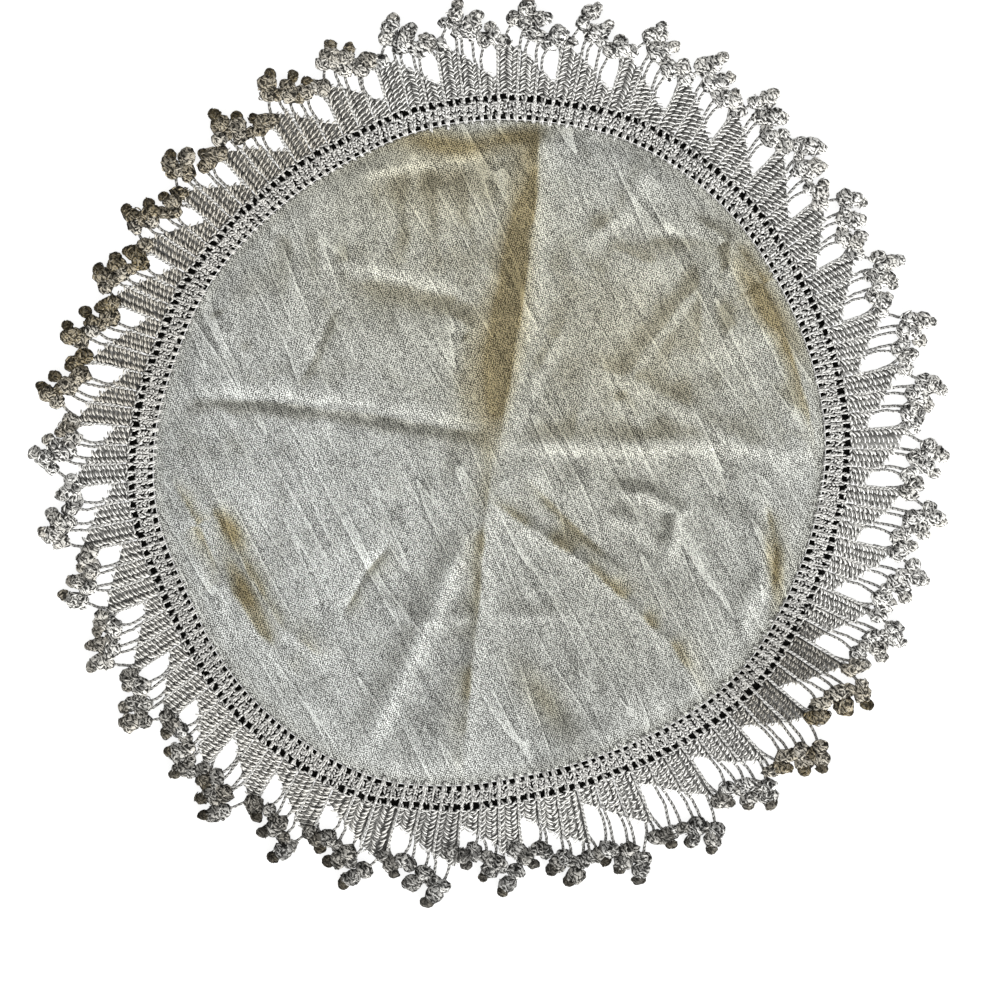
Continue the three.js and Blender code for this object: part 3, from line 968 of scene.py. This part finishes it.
def makeBacksAndShadow(material):
    s = backsAndShadow
    bm = bmesh.new()
    shade = bm.verts.layers.float.new("depth")
    steps = ribCount * s["columns"]
    bmesh.ops.create_grid(bm, x_segments=steps, y_segments=4, size=0.5)
    for v in bm.verts:
        place = (v.co.x + 0.5) * ribCount
        rib = int(place) % ribCount
        angle = ridgeAngles[rib] + (place - int(place)) * ridgeSpans[rib]
        out = s["headingFrom"] + (v.co.y + 0.5) * (s["headingTo"] - s["headingFrom"])
        v.co = Vector(pastEdge(angle, out, s["top"]) * mm)
        # Black under the heading: painted shadow in the small holes
        v[shade] = s["litHoles"]
    bmesh.ops.remove_doubles(bm, verts=bm.verts, dist=1e-6)
    for rib in range(ribCount):
        grid = bmesh.ops.create_grid(bm, x_segments=4, y_segments=6, size=0.5)
        near = ribs["braidEndNear"][ribKind[rib]] + endJitter[rib] - s["inset"]
        far = ribs["braidEndFar"][ribKind[rib]] + endJitter[rib] - s["inset"]
        for v in grid["verts"]:
            share = v.co.x + 0.5
            end = near + (far - near) * share
            out = s["headingTo"] + (v.co.y + 0.5) * (end - s["headingTo"])
            v.co = Vector(ribSpot(rib, 0.04 + 0.92 * share, out, s["top"]) * mm)
            v[shade] = s["litRibs"][round(share * 4)]
    bmesh.ops.recalc_face_normals(bm, faces=bm.faces)
    bmesh.ops.solidify(bm, geom=bm.faces[:], thickness=s["thickness"] * mm)
    bmesh.ops.recalc_face_normals(bm, faces=bm.faces)
    middle = sum(v.co.z for v in bm.verts) / len(bm.verts)
    lit = [v[shade] if v.co.z > middle else s["litBelow"] for v in bm.verts]
    mesh = bpy.data.meshes.new("stitchBacksAndShadow")
    bm.to_mesh(mesh)
    bm.free()
    mesh.uv_layers.new(name="twist")
    return finishPiece("stitchBacksAndShadow", mesh, material, lit, np.zeros(len(lit)))


edging.append(makeBacksAndShadow(crochetCotton))


# Bobbles: lumps of curled thread, three clusters on each tooth, each ending in a brown drop

# Degrees past the eye, share of the lean, distance back from the reach, half sizes, curls, how dark
bobbleLumps = [
    (-1.35, 0.0, 22.0, (4.4, 4.0, 1.8), 7, 0.1),
    (-0.15, 0.0, 20.0, (4.8, 4.6, 2.1), 9, 0.2),
    (1.05, 0.0, 22.5, (5.0, 4.6, 2.1), 9, 0.0),
    (0.35, 0.0, 16.4, (3.2, 2.9, 1.8), 6, 0.5),
    (0.1, 0.5, 20.3, (3.7, 3.5, 1.8), 6, 0.1),
    (1.55, 0.5, 18.1, (5.0, 4.6, 2.1), 9, 0.0),
    (0.7, 0.5, 14.0, (5.0, 4.6, 2.1), 9, 0.1),
    (-0.1, 0.5, 11.0, (3.6, 3.2, 1.8), 6, 0.5),
    (0.25, 1.0, 14.8, (3.7, 3.5, 1.8), 6, 0.1),
    (1.45, 1.0, 12.5, (4.5, 4.0, 1.9), 8, 0.0),
    (0.55, 1.0, 8.2, (5.0, 4.6, 2.1), 9, 0.1),
    (-0.1, 1.0, 4.3, (3.4, 3.1, 1.8), 6, 0.5),
]
lumpPasts, lumpShares, lumpBacks = np.array([row[:3] for row in bobbleLumps]).T
lumpAngles = eyes[:, None] + np.outer(stretches, lumpPasts) + np.outer(leans, lumpShares)
lumpAngles = lumpAngles + rng.normal(0, 0.2, lumpAngles.shape)
lumpRadii = reaches[:, None] - lumpBacks + rng.normal(0, 0.7, lumpAngles.shape)
bobbles = {"curlLength": 3.4, "curlRadius": 0.4, "heartLit": 0.95, "rough": 0.11}


# Bobbles paler on the right of the ring, darker on its lower side and where tinted brown
def brightAt(angle):
    turned = np.mod(angle + 70, 360)
    right = smooth(turned, 0, 25) * (1 - smooth(turned, 120, 150))
    return 1.25 + 0.45 * right - 0.2 * brownTintAt(angle) - 0.55 * lowerSide(angle)


def curlBends(centre, size, count, facing):
    # Short curls over the top of a ball, most of them wrapped across its axis
    golden = np.pi * (3 - math.sqrt(5))
    rise = 1 - (np.arange(count) + 0.5) / count * 0.9
    turn = np.arange(count) * golden + rng.uniform(0, 6)
    flat = np.sqrt(1 - rise * rise)
    normal = np.stack([flat * np.cos(turn), flat * np.sin(turn), rise], 1)
    middle = centre + normal * size
    across = facing + math.pi / 2 + rng.normal(0, 0.8, count)
    way = np.stack([np.cos(across), np.sin(across), np.zeros(count)], 1)
    way = unit(way - (way * normal).sum(1)[:, None] * normal)
    half = way * (bobbles["curlLength"] / 2 * rng.normal(1, 0.2, (count, 1)))
    bow = np.cross(normal, way) * rng.normal(0.5, 0.6, (count, 1))
    start, end = middle - half - normal * 0.6, middle + half - normal * 0.6
    lift = normal * rng.normal(0.8, 0.3, (count, 1)) + bow
    return np.stack([start, start + half * 0.6 + lift, end - half * 0.6 + lift, end], 1), rise


def makeBobbles(material):
    s = bobbles
    curls = Stitches(fineStrand)
    bm = bmesh.new()
    lit, brownTints, curled = [], [], []
    for k in range(len(teeth)):
        for lump, (size, count, dark) in enumerate(row[3:] for row in bobbleLumps):
            angle = lumpAngles[k, lump]
            dims = np.array(size) * rng.normal(1, 0.1, 3)
            centre = placed(angle, lumpRadii[k, lump], dims[2] + 0.2 + rng.uniform(0, 0.4))
            dark = dark * (0.35 + 1.15 * max(lowerSide(angle), 2.2 * brownTintAt(angle)))
            brown = float(np.clip(1.6 * brownTintAt(angle) + 0.8 * dark + rng.normal(0, 0.1), 0, 1))
            tone = brightAt(angle) * (1 - 0.9 * dark) * rng.normal(1, 0.07)
            facing = math.radians(angle - 14 + rng.normal(0, 25))
            bends, rise = curlBends(centre, dims, count, facing)
            # Curls low on the ball are painted darker, as shade
            shade = tone * rng.normal(1, 0.2, count) * (0.65 + 0.35 * rise)
            curls.add(bends, s["curlRadius"] * rng.normal(1, 0.12, count), shade, brown)
            made = bmesh.ops.create_icosphere(bm, subdivisions=2, radius=1)
            for v in made["verts"]:
                rough = rng.normal(1, s["rough"] * (1 - dark))
                # Painted light: each heart is pale on top and dark underneath
                lit.append(s["heartLit"] * tone * smooth(v.co.z, -0.6, 0.5))
                spot = centre + np.array(v.co) * dims * rough
                v.co = Vector((spot[0], spot[1], max(spot[2], 0.03))) * mm
            brownTints += [brown] * len(made["verts"])
            curled += [1 - 0.35 * dark] * len(made["verts"])
    mesh = bpy.data.meshes.new("bobbleHearts")
    bm.to_mesh(mesh)
    bm.free()
    mesh.uv_layers.new(name="twist")
    mesh.attributes.new("curl", "FLOAT", "POINT").data.foreach_set("value", curled)
    hearts = finishPiece("bobbleHearts", mesh, material, lit, brownTints)
    return [hearts, curls.build("bobbleCurls", material)]


edging += makeBobbles(crochetCotton)


# Chains: the open loops from the ribs to the bobbles

# From: degrees past the eye, distance past the edge. To: which lump, how far short of its middle.
# Bow: how far the chain swings to its left
chainRuns = [
    {"from": (1.15, 22.5), "to": (2, 2.5), "bow": 1.9},
    {"from": (2.05, 25.5), "to": (4, 1.5), "bow": 1.0},
    {"from": (3.95, 31.5), "to": (5, 2.0), "bow": 1.0},
    {"from": (4.85, 34.5), "to": (8, 1.5), "bow": 1.0},
    {"from": (7.0, 40.0), "to": (9, 1.5), "bow": 0.8},
    {"from": (7.8, 32.0), "to": (1, 4.0), "bow": -0.8},
    {"from": (7.5, 41.5), "to": (0, 1.5), "bow": 0.4},
]
chainLink = {
    "length": 2.6,
    "halfWidth": 0.48,
    "radius": 0.54,
    "height": 1.0,
    "climb": 0.6,
    "tone": 0.62,
}


def addChain(stitches, start, end, bow, brownTint):
    run = end - start
    left = unit(np.cross((0, 0, 1), run))
    middle = (start + end) / 2 + left * bow * 2
    count = max(3, round(np.linalg.norm(run) / chainLink["length"]))
    t = np.linspace(0, 1, count + 1)[:, None]
    path = (1 - t) ** 2 * start + 2 * t * (1 - t) * middle + t * t * end
    path = path + rng.normal(0, 0.14, path.shape) * (1, 1, 0.3)
    step = path[1:] - path[:-1]
    way = unit(np.gradient(path, axis=0))
    side = np.where(np.arange(count + 1) % 2, 1, -1)[:, None]
    swing = np.cross((0, 0, 1), way) * chainLink["halfWidth"] * side
    pull = np.linalg.norm(step, axis=1)[:, None] * 0.4
    over = np.array((0, 0, 0.5)) * side[:-1]
    for hand in (-1, 1):
        rail = path + hand * swing
        leave = rail[:-1] + way[:-1] * pull + hand * over
        arrive = rail[1:] - way[1:] * pull + hand * over
        bends = np.stack([rail[:-1], leave, arrive, rail[1:]], 1)
        tone = chainLink["tone"] * toneOf(count, 0.08)
        stitches.add(bends, chainLink["radius"], tone, brownTint, 0.15)


def makeChains(material):
    chains = Stitches(fineStrand)
    low, high = chainLink["height"], chainLink["height"] + chainLink["climb"]
    for k in range(len(teeth)):
        brownTint = 0.6 * brownTintAt(eyes[k])
        for run in chainRuns:
            past, out = run["from"]
            lump, short = run["to"]
            tooth = (k + (past > 7.2)) % len(teeth)
            start = pastEdge(eyes[k] + past * stretches[k], out, low)
            end = placed(lumpAngles[tooth, lump], lumpRadii[tooth, lump] - short, high)
            addChain(chains, start, end, run["bow"], brownTint)
    return chains.build("loopChains", material)


edging.append(makeChains(crochetCotton))


# Every piece rides on the one body and stands for its solid

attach(linenSheet, "root")
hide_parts("linen_centre")
for piece in edging:
    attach(piece, "root")
    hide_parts("crochet_edging")
